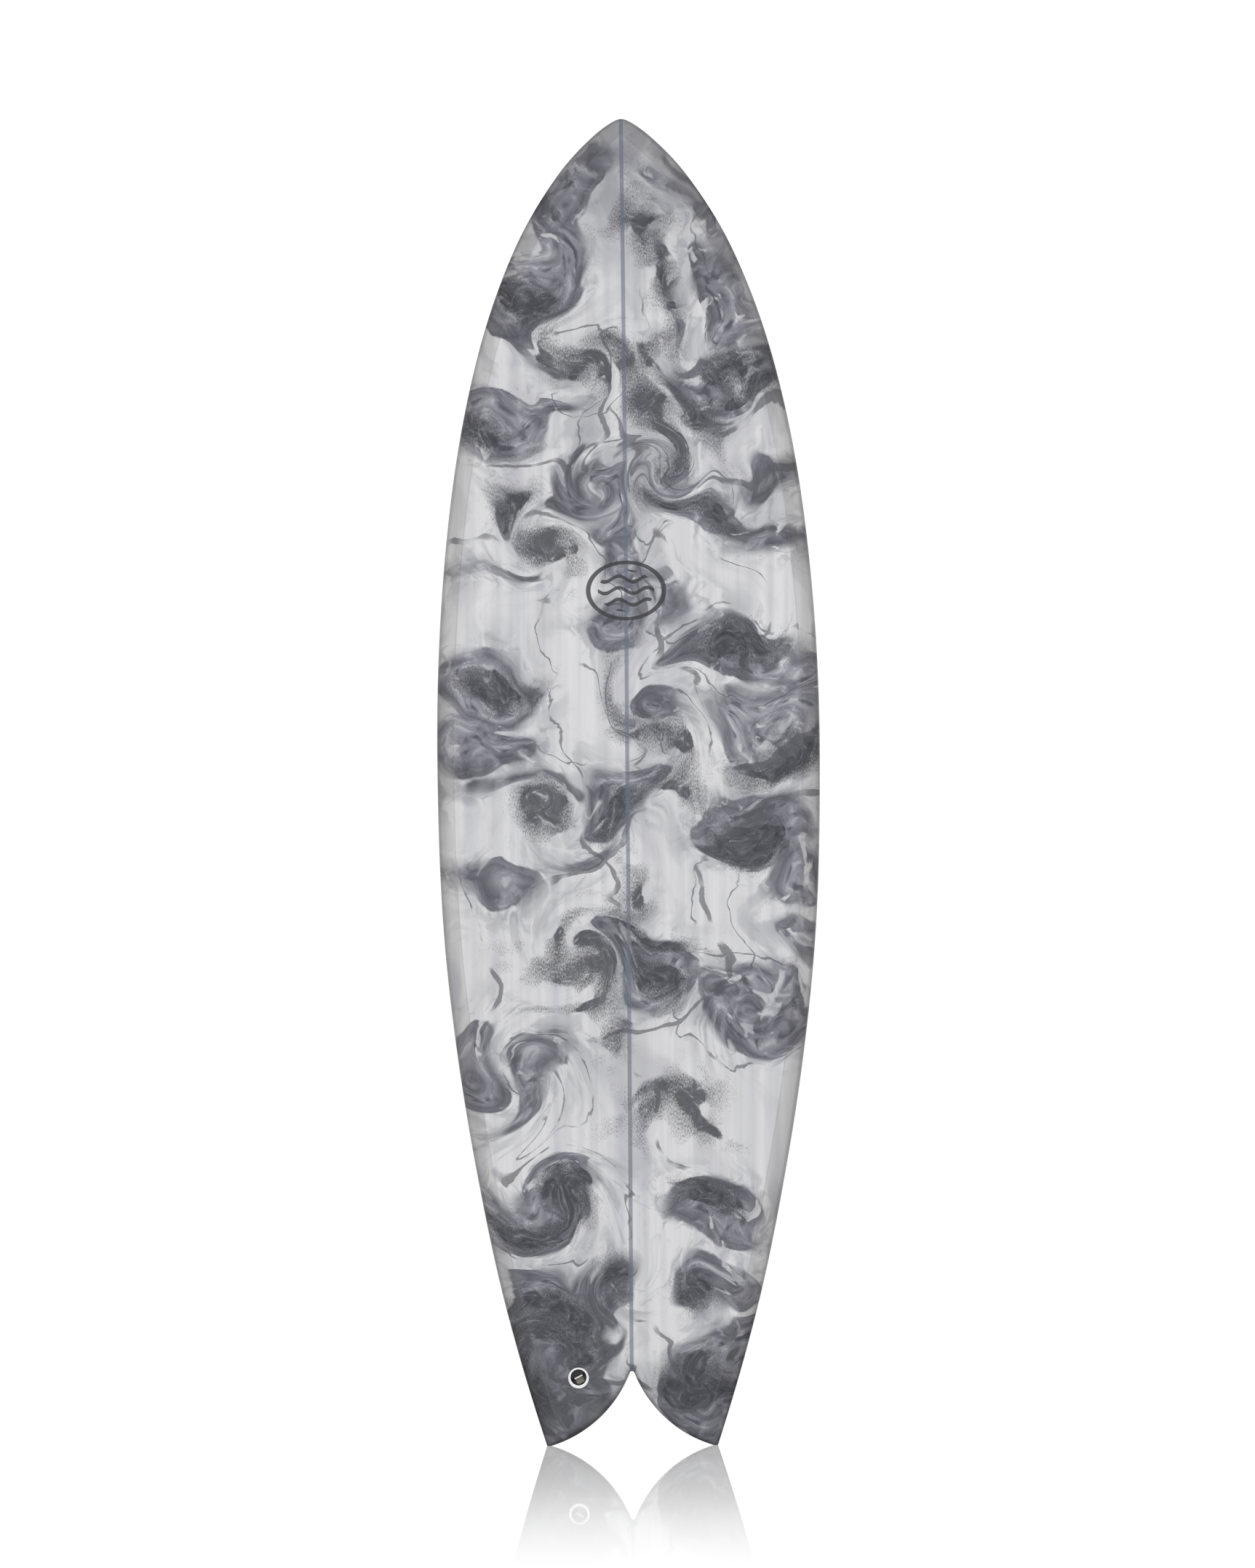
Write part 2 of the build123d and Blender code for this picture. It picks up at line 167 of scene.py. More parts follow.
def notch_x(z, inset):
    """Half the notch's width at z, with the notch grown by inset."""
    radius, root = LOBE_RADIUS - inset, NOTCH_RADIUS + inset
    meet = ROOT_Z + root * math.sin(ROOT_TURN)
    lobe = LOBE_CENTRE[0] - np.sqrt(np.clip(radius**2 - (LOBE_CENTRE[1] - z) ** 2, 0, None))
    round_end = np.sqrt(np.clip(root**2 - (z - ROOT_Z) ** 2, 0, None))
    return np.where(z < meet, lobe, round_end)


def notch_distance(x, z):
    """How far a point of the board is from the notch's edge."""
    lobe = LOBE_RADIUS - np.hypot(LOBE_CENTRE[0] - x, LOBE_CENTRE[1] - z)
    root = np.hypot(x, z - ROOT_Z) - NOTCH_RADIUS
    return np.clip(np.where(np.arctan2(z - ROOT_Z, x) > ROOT_TURN, root, lobe), 0, None)


def outline_x(z, inset):
    """The outline moved in by inset, at z; 0 above its own nose."""
    along = LENGTH - np.linspace(math.sqrt(LENGTH), 0.01, OUTLINE_POINTS) ** 2
    wide = half_width(along)
    slope = np.gradient(wide, along)
    scale = inset / np.hypot(1, slope)
    x, height = wide - scale, along + slope * scale
    first = np.argmax(x < 0) if (x < 0).any() else len(x)
    x, height = x[:first], height[:first]
    return np.where(z > height[-1], 0.0, np.interp(z, height, x))


# --- Mesh helpers -----------------------------------------------------------------------------------
def middle_of(node):
    """The middle of a CAD node's box, in millimetres."""
    low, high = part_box(node)
    return (low + high) / 2 / MM


def new_object(name, mesh, body, material):
    """A new piece with one material, on a body."""
    obj = bpy.data.objects.new(name, mesh)
    bpy.context.collection.objects.link(obj)
    mesh.materials.append(material)
    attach(obj, body)
    return obj


def smooth(mesh, angle=35.0):
    """Smooth shading, with sharp edges where faces meet at more than angle degrees."""
    bm = bmesh.new()
    bm.from_mesh(mesh)
    for face in bm.faces:
        face.smooth = True
    for edge in bm.edges:
        edge.smooth = len(edge.link_faces) == 2 and edge.calc_face_angle(0.0) < math.radians(angle)
    bm.to_mesh(mesh)
    bm.free()


def apply_modifiers(obj):
    """Gives the object the mesh that its modifiers make, and clears them."""
    graph = bpy.context.evaluated_depsgraph_get()
    made = bpy.data.meshes.new_from_object(obj.evaluated_get(graph), depsgraph=graph)
    obj.modifiers.clear()
    obj.data = made


# --- The glass skins --------------------------------------------------------------------------------
def row_heights():
    """Heights of the mesh's rows: along the notch's curve, then evenly, then close at the nose."""
    tip = math.asin(LOBE_CENTRE[1] / LOBE_RADIUS)
    angles = np.linspace(tip, ROOT_TURN, LOBE_ROWS)
    lobe = [LOBE_CENTRE[1] - LOBE_RADIUS * math.sin(angle) for angle in angles]
    angles = np.linspace(ROOT_TURN, math.pi / 2, ROOT_ROWS)[1:]
    root = [ROOT_Z + NOTCH_RADIUS * math.sin(angle) for angle in angles]
    above = [root[-1] + step for step in ABOVE_ROOT]
    first = math.sqrt(LENGTH - above[-1] - ROW_STEP)
    nose = [LENGTH - u * u for u in np.linspace(first, math.sqrt(NOSE_CAP), NOSE_ROWS)]
    return np.array([max(height, 0.0) for height in lobe + root + above + nose])


def skin_columns(z):
    """x of every column at each row, out from the notch to the rail, and the deck glass's columns."""
    inner = np.array([notch_x(z, inset) for inset in FROM_NOTCH])
    outer = np.array([outline_x(z, inset) for inset in FROM_RAIL[:-1]] + [half_width(z)])
    width = outer[-1] - inner[0]
    band = [inner[0] + share * width for share in MIDDLE_BAND]
    middle = np.clip((inner[-1] + outer[0]) / 2, *band)
    crossed = inner[-1] > outer[0]
    inner = np.where(crossed, np.minimum(inner, middle), inner)
    outer = np.where(crossed, np.maximum(outer, middle), outer)
    share = np.linspace(0, 1, MIDDLE_STRIPS + 1)[1:-1, None]
    across = inner[-1] + (outer[0] - inner[-1]) * share
    return np.vstack([inner, across, outer]), len(inner) - 1, len(inner) + len(share)


def skin_sheet(x, z, deck):
    """Points of one side of the board, with the edge rolled over into the notch."""
    height = np.broadcast_to(z, x.shape)
    y = surface_y(x, height, deck)
    depth = surface_y(x, height, False) - surface_y(x, height, True)
    roll = np.minimum(NOTCH_ROUND if deck else NOTCH_HEEL, ROLL_SHARE * depth)
    near = np.clip(notch_distance(x, height), 0, roll)
    drop = roll - np.sqrt(np.clip(2 * roll * near - near**2, 0, None))
    return np.stack([x, y + (drop if deck else -drop), height], axis=-1)


def board_mesh():
    """The board's whole outer surface.

    Its vertices are marked with their distance in from the outline ("inset") and from the outline or
    the notch ("edge"), and with 0 on the deck and 1 on the bottom ("under"). The faces of the deck
    glass are marked "deck".
    """
    z = row_heights()
    x, first, last = skin_columns(z)
    columns, rows = x.shape
    sheets = np.stack([skin_sheet(x, z, True), skin_sheet(x, z, False)]) * MM
    steepness = np.hypot(1, np.gradient(half_width(z), z))
    height = np.broadcast_to(z, x.shape)
    inset = (half_width(z) - x) / steepness
    edge = np.minimum(inset, notch_distance(x, height))
    bm = bmesh.new()
    layers = [bm.verts.layers.float.new(layer) for layer in ("inset", "edge", "under")]
    inset_layer, edge_layer, under_layer = layers
    deck_layer = bm.faces.layers.int.new("deck")
    for mirror in (1, -1):
        v = np.empty((2, columns, rows), object)
        for place in np.ndindex(v.shape):
            px, py, pz = sheets[place]
            v[place] = bm.verts.new((mirror * px, py, pz))
            v[place][inset_layer] = inset[place[1:]]
            v[place][edge_layer] = edge[place[1:]]
            v[place][under_layer] = place[0]

        def quad(*corners):
            return bm.faces.new(corners[::mirror])

        top, base = v
        for c in range(columns - 1):
            for r in range(rows - 1):
                made = quad(top[c, r], top[c + 1, r], top[c + 1, r + 1], top[c, r + 1])
                made[deck_layer] = int(first <= c < last)
                quad(base[c, r], base[c, r + 1], base[c + 1, r + 1], base[c + 1, r])
            quad(top[c, 0], base[c, 0], base[c + 1, 0], top[c + 1, 0])
            quad(top[c, -1], top[c + 1, -1], base[c + 1, -1], base[c, -1])
        for r in np.flatnonzero(x[0, :-1] > 0):
            quad(top[0, r], top[0, r + 1], base[0, r + 1], base[0, r])
    bmesh.ops.remove_doubles(bm, verts=bm.verts, dist=WELD)
    bmesh.ops.dissolve_degenerate(bm, edges=bm.edges, dist=WELD)
    bmesh.ops.recalc_face_normals(bm, faces=bm.faces)
    return bm


BOARD = board_mesh()


def skin(name, wanted, material):
    """One glass skin: the faces of the board wanted by their deck mark, given thickness inward."""
    bm = BOARD.copy()
    deck_layer = bm.faces.layers.int["deck"]
    spare = [face for face in bm.faces if face[deck_layer] != wanted]
    bmesh.ops.delete(bm, geom=spare, context="FACES")
    mesh = bpy.data.meshes.new(name)
    bm.to_mesh(mesh)
    bm.free()
    obj = new_object(name, mesh, "board", material)
    thicken = obj.modifiers.new("thicken", "SOLIDIFY")
    thicken.thickness, thicken.offset = SKIN * MM, -1
    thicken.use_even_offset = False
    apply_modifiers(obj)
    return obj


def core(name, low, high, material):
    """The foam blank or the stringer: what is inside the glass between two x, in millimetres."""
    bm = BOARD.copy()
    bm.normal_update()
    for vert, normal in [(vert, vert.normal.copy()) for vert in bm.verts]:
        vert.co -= normal * CORE_DEPTH * MM
    cuts = [((x, 0, 0), (side, 0, 0)) for x, side in ((low, -1), (high, 1)) if x is not None]
    cuts.append(((0, 0, LENGTH - CORE_TOP), (0, 0, 1)))
    for point, normal in cuts:
        cut = bmesh.ops.bisect_plane(
            bm,
            geom=bm.verts[:] + bm.edges[:] + bm.faces[:],
            plane_co=Vector(point) * MM,
            plane_no=normal,
            clear_outer=True,
        )
        rim = [part for part in cut["geom_cut"] if isinstance(part, bmesh.types.BMEdge)]
        bmesh.ops.holes_fill(bm, edges=rim)
    bmesh.ops.triangulate(bm, faces=[face for face in bm.faces if len(face.verts) > 4])
    mesh = bpy.data.meshes.new(name)
    bm.to_mesh(mesh)
    bm.free()
    return new_object(name, mesh, "board", material)


def rod(centre, axis, radius, near, far):
    """A round rod's mesh, from near to far along its axis."""
    bm = bmesh.new()
    axis = Vector(axis).normalized()
    side = axis.orthogonal().normalized() * radius
    turns = [Matrix.Rotation(2 * math.pi * k / HOLE_SIDES, 3, axis) @ side for k in range(HOLE_SIDES)]
    rows = []
    for depth, wide in ((near, False), (near, True), (far, True), (far, False)):
        middle = Vector(centre) + axis * depth
        if wide:
            rows.append([bm.verts.new((middle + turn) * MM) for turn in turns])
        else:
            rows.append([bm.verts.new(middle * MM)] * HOLE_SIDES)
    for below, above in zip(rows, rows[1:]):
        for k in range(HOLE_SIDES):
            n = (k + 1) % HOLE_SIDES
            bm.faces.new(list(dict.fromkeys([below[k], below[n], above[n], above[k]])))
    bmesh.ops.recalc_face_normals(bm, faces=bm.faces)
    mesh = bpy.data.meshes.new("rod")
    bm.to_mesh(mesh)
    bm.free()
    return mesh


def bore(obj, centre, axis, radius, near, far):
    """Cuts a round hole of the given radius from near to far along the axis."""
    tool = bpy.data.objects.new("tool", rod(centre, axis, radius, near, far))
    bpy.context.collection.objects.link(tool)
    cut = obj.modifiers.new("bore", "BOOLEAN")
    cut.operation, cut.solver, cut.object = "DIFFERENCE", "EXACT", tool
    apply_modifiers(obj)
    bpy.data.objects.remove(tool)


# --- Node materials ---------------------------------------------------------------------------------
class Nodes:
    """A node tree, built by calls that take numbers or sockets."""

    def __init__(self, tree):
        self.tree = tree

    def add(self, kind, inputs=(), **settings):
        """A new node with these settings, and its inputs by name or place."""
        node = self.tree.nodes.new(kind)
        for key, value in settings.items():
            if getattr(node, key) != value:
                setattr(node, key, value)
        for key, value in dict(inputs).items():
            self.put(node.inputs[key], value)
        return node

    def put(self, socket, value):
        """Links the socket to a socket, or sets it to a value."""
        if isinstance(value, bpy.types.NodeSocket):
            self.tree.links.new(value, socket)
        else:
            socket.default_value = value

    def math(self, operation, *values, clamp=False):
        node = self.add("ShaderNodeMath", operation=operation, use_clamp=clamp)
        for socket, value in zip(node.inputs, values):
            self.put(socket, value)
        return node.outputs[0]

    def vector(self, operation, *values, scale=None):
        node = self.add("ShaderNodeVectorMath", operation=operation)
        for socket, value in zip(node.inputs, values):
            self.put(socket, value)
        if scale is not None:
            self.put(node.inputs["Scale"], scale)
        return node.outputs["Value" if operation in ("LENGTH", "DOT_PRODUCT") else "Vector"]

    def noise(self, at, size, detail=2.0, twist=0.0, offset=(0, 0), roughness=0.5, output="Fac"):
        """Noise whose features are about size across, or size[i] along each axis."""
        size = size if isinstance(size, tuple) else (size,) * 3
        inputs = {"Vector": at, "Location": (*offset, 0), "Scale": [1 / s for s in size]}
        moved = self.add("ShaderNodeMapping", inputs).outputs[0]
        inputs = {
            "Vector": moved,
            "Scale": 1.0,
            "Detail": detail,
            "Distortion": twist,
            "Roughness": roughness,
        }
        return self.add("ShaderNodeTexNoise", inputs).outputs[output]

    def ease(self, value, low, high, to=(0.0, 1.0)):
        """Smooth step from low to high."""
        inputs = {0: value, 1: low, 2: high, 3: to[0], 4: to[1]}
        return self.add("ShaderNodeMapRange", inputs, interpolation_type="SMOOTHSTEP").outputs[0]

    def ramp(self, value, *stops):
        """Colour for a value, by way of (place, colour) stops."""
        node = self.add("ShaderNodeValToRGB", {0: value})
        points = node.color_ramp.elements
        while len(points) < len(stops):
            points.new(0.5)
        for point, (at, colour) in zip(points, stops):
            point.position, point.color = at, rgb(colour)
        return node.outputs[0]

    def mix(self, share, a, b, blend="MIX"):
        """Colour a with the given share of b over it."""
        node = self.add("ShaderNodeMix", data_type="RGBA", blend_type=blend)
        for key, value in ((0, share), (6, a), (7, b)):
            self.put(node.inputs[key], rgb(value) if key and isinstance(value, tuple) else value)
        return node.outputs[2]


class Finish(Nodes):
    """A material's nodes."""

    def __init__(self, name):
        self.material = bpy.data.materials.new(name)
        self.material.use_nodes = True
        super().__init__(self.material.node_tree)
        self.shader = self.tree.nodes["Principled BSDF"]
        self.place = self.add("ShaderNodeTexCoord").outputs["Object"]

    def set(self, **inputs):
        """Sets the shader's inputs, with _ for each space in their names, and gives the material."""
        for key, value in inputs.items():
            self.put(self.shader.inputs[key.replace("_", " ")], value)
        return self.material


def rgb(colour):
    """A linear colour from sRGB numbers out of 255."""
    linear = [c / 255 / 12.92 if c < 10.3 else ((c / 255 + 0.055) / 1.055) ** 2.4 for c in colour[:3]]
    return (*linear, 1.0)


# --- The swirl's layout, in millimetres: x, z, half size across, half size along, turn in degrees ---
EMBLEM_Z = 1180.0
EMBLEM_SIZE = (55.0, 41.0)
GREY_POURS = [
    (-79, 1719, 96, 30, 45), (-128, 1600, 62, 62, 10), (-100, 1650, 36, 60, -30), (150, 1580, 38, 104, 25),
    (118, 1694, 8, 100, 33), (62, 1600, 12, 84, 14), (-150, 1545, 60, 16, -30), (140, 1465, 86, 48, -6),
    (80, 1440, 14, 50, 30), (-178, 1410, 70, 56, 0), (-70, 1350, 24, 40, -12), (-42, 1318, 48, 46, 0),
    (50, 1345, 40, 40, 0), (-22, 1272, 42, 34, 0), (-150, 1300, 36, 26, 34), (110, 1282, 74, 26, -4),
    (196, 1262, 70, 22, -14), (-10, 1215, 34, 40, 0), (44, 1170, 52, 34, -28), (-18, 1128, 48, 38, 0),
    (158, 1097, 86, 46, 6), (240, 1070, 40, 34, 0), (205, 985, 88, 64, 0), (-198, 1043, 76, 54, 0),
    (-222, 958, 62, 38, 8), (-150, 915, 92, 11, 5), (-12, 898, 52, 50, 15), (172, 846, 80, 58, -6),
    (226, 772, 46, 34, 0), (-205, 786, 80, 14, -4), (-160, 774, 56, 24, -8), (30, 650, 60, 62, 10),
    (172, 604, 94, 60, 4), (240, 700, 42, 30, 0), (-196, 560, 60, 44, 30), (-140, 500, 84, 28, 30),
    (-116, 332, 88, 54, 8), (-186, 350, 50, 34, 0), (116, 322, 82, 46, -10), (-22, 220, 44, 40, 0),
    (120, 222, 60, 40, 6), (-112, 132, 82, 98, -5), (98, 66, 58, 74, 5), (158, 120, 40, 60, 0),
    (-40, 120, 12, 60, -24), (-205, 1200, 60, 10, 16), (-124, 44, 54, 52, 14), (122, 40, 50, 56, -14),
    (-150, 196, 40, 50, 0), (-170, 960, 60, 26, 0), (-70, 812, 60, 10, 30), (60, 1000, 26, 40, 20),
    (-110, 1450, 30, 14, 0), (150, 640, 60, 30, 20), (190, 1340, 60, 18, 14), (-112, 84, 92, 78, 0),
    (120, 90, 60, 64, 0), (-84, 60, 50, 46, 0), (70, 1730, 50, 12, -40), (-46, 1768, 40, 14, 40),
]
DARK_POURS = [
    (-60, 1508, 20, 40, 8), (-84, 1524, 26, 20, 0), (-6, 1488, 32, 18, -28), (28, 1440, 22, 46, 22),
    (48, 1392, 18, 40, 10), (-152, 1300, 34, 20, 34), (-112, 1240, 26, 38, 28), (108, 1284, 44, 15, -8),
    (24, 1668, 10, 44, 10), (52, 1606, 10, 70, 14), (44, 1505, 10, 44, -28), (12, 1690, 26, 10, 0),
    (84, 1432, 11, 44, 34), (150, 1440, 60, 12, -10), (12, 1035, 9, 34, 30), (36, 962, 13, 66, 34),
    (64, 905, 40, 11, -24), (150, 1104, 50, 26, 24), (206, 940, 60, 24, 10), (-190, 1050, 46, 22, 6),
    (-122, 870, 36, 34, 0), (-8, 880, 36, 20, 30), (8, 742, 9, 52, 14), (160, 828, 46, 34, 0),
    (40, 700, 44, 9, -30), (-86, 700, 50, 12, 8), (-96, 660, 22, 54, 30), (-60, 640, 26, 40, 0),
    (-66, 604, 34, 14, 0), (36, 640, 26, 40, 14), (-20, 556, 13, 26, 8), (50, 478, 50, 15, 16),
    (90, 462, 40, 12, -30), (34, 452, 16, 30, -30), (-160, 330, 40, 26, -12), (-92, 318, 44, 34, 24),
    (100, 338, 46, 20, -14), (-20, 232, 34, 16, 0), (92, 214, 26, 24, 0), (-122, 176, 62, 26, 10),
    (-84, 140, 34, 22, 0), (-130, 60, 30, 36, 0), (96, 92, 44, 30, 0), (-196, 1392, 50, 22, 0),
    (-128, 1586, 40, 22, 0), (150, 1478, 50, 22, -12), (-134, 128, 56, 20, 20), (108, 74, 40, 22, -20),
    (-108, 66, 30, 22, 0),
]
# The threads run along the outlines of the rings, and along the streaks
RINGS = [
    (-58, 1488, 56, 64, 0), (62, 960, 44, 60, 20), (-70, 1010, 70, 66, 0), (-66, 1100, 52, 190, 10),
    (96, 1180, 88, 70, 0), (60, 1300, 60, 62, 0), (-102, 330, 100, 80, 0), (-120, 490, 66, 58, 30),
    (150, 600, 108, 76, 0), (4, 1390, 74, 120, 0), (120, 720, 24, 150, -6), (-70, 120, 70, 100, 0),
    (-46, 180, 20, 90, -20), (88, 1560, 60, 150, 12), (160, 1090, 106, 62, 4),
]
STREAKS = [
    (-190, 1250, 74, 3.4, 16), (20, 1330, 4, 90, 20), (-66, 800, 90, 3, 34), (-12, 740, 3, 120, 20),
    (110, 700, 2.6, 64, 4), (-172, 610, 2.6, 130, 20), (46, 150, 2.2, 90, 40), (150, 1404, 90, 4.5, 8),
    (-156, 1212, 26, 4.5, -18), (-110, 1180, 22, 3, 20), (62, 1110, 3, 90, 24), (-10, 560, 90, 2, 8),
    (170, 1345, 90, 3, 10), (176, 948, 110, 6, 12), (-80, 1370, 60, 2.5, 12), (204, 870, 70, 6, 16),
    (60, 420, 3, 90, 30), (-40, 1440, 3, 90, 12), (20, 90, 90, 2.5, -22), (-150, 400, 70, 4, 12),
]
# x, z, reach, turn in degrees at the middle
WHIRLS = [
    (-124, 1594, 120, 45), (-54, 1507, 90, -90), (148, 1475, 120, -50), (-185, 1404, 110, 35),
    (50, 1345, 75, 130), (-36, 1323, 75, -110), (115, 1280, 110, 45), (-118, 1237, 85, -90),
    (165, 1107, 120, 35), (-190, 1042, 120, 25), (36, 999, 110, -80), (208, 977, 110, -25),
    (-105, 869, 95, 60), (182, 847, 120, -35), (-75, 685, 110, -100), (43, 652, 95, -50),
    (172, 598, 130, 60), (-162, 512, 130, -90), (72, 468, 95, 40), (-110, 339, 120, -100),
    (135, 306, 120, 40), (-15, 230, 75, 100), (87, 198, 75, -60), (-100, 144, 130, 60),
    (100, 57, 110, -40),
]
# The bottom's pours: the deck's, turned end for end or mirrored
UNDER_GREY = [(x * 0.96, 1790 - z, *size, -turn) for x, z, *size, turn in GREY_POURS]
UNDER_DARK = [(-x * 0.96, z + 30, *size, -turn) for x, z, *size, turn in DARK_POURS[::2]]


def new_group(name, vectors, floats, result, kind):
    """An empty node group, its Nodes and its input sockets."""
    tree = bpy.data.node_groups.new(name, "ShaderNodeTree")
    for inputs, socket_type in ((vectors, "NodeSocketVector"), (floats, "NodeSocketFloat")):
        for label in inputs:
            tree.interface.new_socket(label, in_out="INPUT", socket_type=socket_type)
    tree.interface.new_socket(result, in_out="OUTPUT", socket_type=kind)
    n = Nodes(tree)
    return n, n.add("NodeGroupInput").outputs


def ellipse_group():
    """Group that gives the smooth minimum of Others and the distance from At to one ellipse."""
    floats = ("Size", "Join", "Others")
    n, given = new_group("ellipse", ("At", "Across", "Along"), floats, "Away", "NodeSocketFloat")
    u = n.vector("DOT_PRODUCT", given["At"], given["Across"])
    v = n.vector("DOT_PRODUCT", given["At"], given["Along"])
    reach = n.math("SQRT", n.math("MULTIPLY_ADD", v, v, n.math("MULTIPLY", u, u)))
    away = n.math("MULTIPLY", n.math("SUBTRACT", reach, 1.0), given["Size"])
    n.add("NodeGroupOutput", {0: n.math("SMOOTH_MIN", given["Others"], away, given["Join"])})
    return n.tree


def whirl_group():
    """Group that turns At about a centre, most at the centre and not at all beyond Reach."""
    vectors, floats = ("At", "Centre"), ("Reach", "Turn")
    n, given = new_group("whirl", vectors, floats, "Turned", "NodeSocketVector")
    away = n.vector("LENGTH", n.vector("SUBTRACT", given["At"], given["Centre"]))
    near = n.ease(n.math("DIVIDE", away, given["Reach"]), 1.0, 0.0)
    angle = n.math("MULTIPLY", near, given["Turn"])
    inputs = {"Vector": given["At"], "Center": given["Centre"], "Angle": angle}
    turned = n.add("ShaderNodeVectorRotate", inputs, rotation_type="Z_AXIS").outputs[0]
    n.add("NodeGroupOutput", {0: turned})
    return n.tree


ELLIPSE, WHIRL = ellipse_group(), whirl_group()


def ellipses(n, at, table, join=9.0):
    """Signed distance, in millimetres, to the smooth union of the table's ellipses; at is (x, z, 1)."""
    total = 500.0
    for x, z, across, along, turn in table:
        c, s = math.cos(math.radians(turn)), math.sin(math.radians(turn))
        inputs = {
            "At": at,
            "Across": (c / across, s / across, -(c * x + s * z) / across),
            "Along": (-s / along, c / along, (s * x - c * z) / along),
            "Size": min(across, along),
            "Join": join,
            "Others": total,
        }
        total = n.add("ShaderNodeGroup", node_tree=ELLIPSE, inputs=inputs).outputs[0]
    return total


def rings(n, at, table):
    """Distance, in millimetres, to the nearest of the table's ellipse lines."""
    total = None
    for row in table:
        away = n.math("ABSOLUTE", ellipses(n, at, [row]))
        total = away if total is None else n.math("MINIMUM", total, away)
    return total


class Swirl(Finish):
    """Poured-resin swirl under clear gloss: greys marbled into white, with dark pours and threads."""

    def __init__(self, name, bottom):
        super().__init__(name)
        in_mm = self.vector("SCALE", self.place, scale=1 / MM)
        self.x, _, self.z = self.add("ShaderNodeSeparateXYZ", {0: in_mm}).outputs
        self.flat = self.add("ShaderNodeCombineXYZ", {0: self.x, 1: self.z, 2: 1.0}).outputs[0]
        turned = self.flat
        for x, z, reach, turn in WHIRLS:
            inputs = {"At": turned, "Centre": (x, z, 1), "Reach": reach, "Turn": math.radians(turn)}
            turned = self.add("ShaderNodeGroup", node_tree=WHIRL, inputs=inputs).outputs[0]
        self.large = self.warped(turned, 140.0, 64.0, 1.0)
        curl = self.warped(self.large, 52.0, 34.0, 1.0, (3.1, 7.7))
        ragged = self.warped(curl, 10.0, 5.0, 3.0)
        self.swirl = self.warped(curl, 30.0, 26.0, 2.0, (1.1, 2.7))
        self.grey_field = ellipses(self, ragged, GREY_POURS)
        self.dark_field = ellipses(self, ragged, DARK_POURS, 5.0)
        ring_field = rings(self, self.swirl, RINGS)
        self.thread_field = self.math("MINIMUM", ring_field, ellipses(self, ragged, STREAKS, 0.5))
        self.under, self.inset, self.edge = (self.mark(name) for name in ("under", "inset", "edge"))
        if bottom:
            self.grey_field = self.turned_under(self.grey_field, ellipses(self, ragged, UNDER_GREY))
            self.dark_field = self.turned_under(self.dark_field, ellipses(self, ragged, UNDER_DARK, 5.0))

        colour = self.threads(self.dark_pours(self.grey_pours(self.base())))
        colour = self.lap(self.emblem(self.stringer_line(colour)))
        ripple = self.noise(self.flat, (60.0, 180.0, 1.0))
        bump = self.add("ShaderNodeBump", {"Strength": 0.08, "Distance": 0.0006, "Height": ripple})
        worn = self.noise(self.flat, (26.0, 70.0, 1.0), 4.0)
        self.set(
            Base_Color=colour,
            Roughness=self.ease(worn, 0.34, 0.66, (0.20, 0.29)),
            IOR=1.5,
            Specular_IOR_Level=0.26,
            Coat_Weight=0.12,
            Coat_Roughness=0.05,
            Normal=bump.outputs[0],
        )

    def mark(self, name):
        """A number marked on the board's vertices."""
        return self.add("ShaderNodeAttribute", attribute_name=name).outputs["Fac"]

    def warped(self, at, size, reach, detail=2.0, offset=(0, 0)):
        """The place, pushed about by up to half of reach by noise of the given size."""
        noise = self.noise(at, size, detail, offset=offset, output="Color")
        push = self.vector("SUBTRACT", noise, (0.5, 0.5, 0.5))
        return self.vector("ADD", at, self.vector("MULTIPLY", push, (reach, reach, 0)))

    def turned_under(self, deck, bottom):
        """The deck's number on the deck and the bottom's on the bottom."""
        return self.add("ShaderNodeMix", {0: self.under, 2: deck, 3: bottom}).outputs[0]

    def times(self, *shares):
        """The product of shares."""
        total = shares[0]
        for share in shares[1:]:
            total = self.math("MULTIPLY", total, share)
        return total

    def near(self, value, centre, *limits):
        """1 near the centre and 0 away from it, between two distances."""
        return self.ease(self.math("ABSOLUTE", self.math("SUBTRACT", value, centre)), *limits)

    def base(self):
        """White, with faint streaks along the board, veils, a hazy nose, smoke and wisps."""
        streaks = self.noise(self.flat, (16.0, 700.0, 1.0), 3.0)
        white = self.ramp(
            streaks,
            (0.30, (196, 197, 202)),
            (0.48, (207, 207, 210)),
            (0.62, (216, 216, 218)),
            (0.8, (203, 203, 207)),
        )
        veil = self.noise(self.large, (90.0, 200.0, 1.0), 3.0, 0.6, (1.3, 5.2))
        colour = self.mix(self.ease(veil, 0.50, 0.66, (0.0, 0.55)), white, (172, 172, 178))
        nose = self.times(self.ease(self.z, 1560.0, 1770.0), self.ease(veil, 0.36, 0.60, (0.45, 1.0)))
        colour = self.mix(self.times(nose, 0.85), colour, (150, 150, 156))
        smoke = self.noise(self.swirl, (70.0, 110.0, 1.0), 5.0, 1.8, (6.0, 3.0))
        smoky = self.times(self.ease(smoke, 0.46, 0.62), self.ease(self.grey_field, 60.0, 0.0))
        colour = self.mix(self.times(smoky, 0.55), colour, (148, 149, 155))
        wisps = self.noise(self.swirl, 34.0, 4.0, 2.2, (9.0, 2.0))
        wisp = self.times(self.ease(wisps, 0.53, 0.66), self.ease(self.grey_field, 34.0, 4.0))
        return self.mix(self.times(wisp, 0.4), colour, (132, 133, 140))

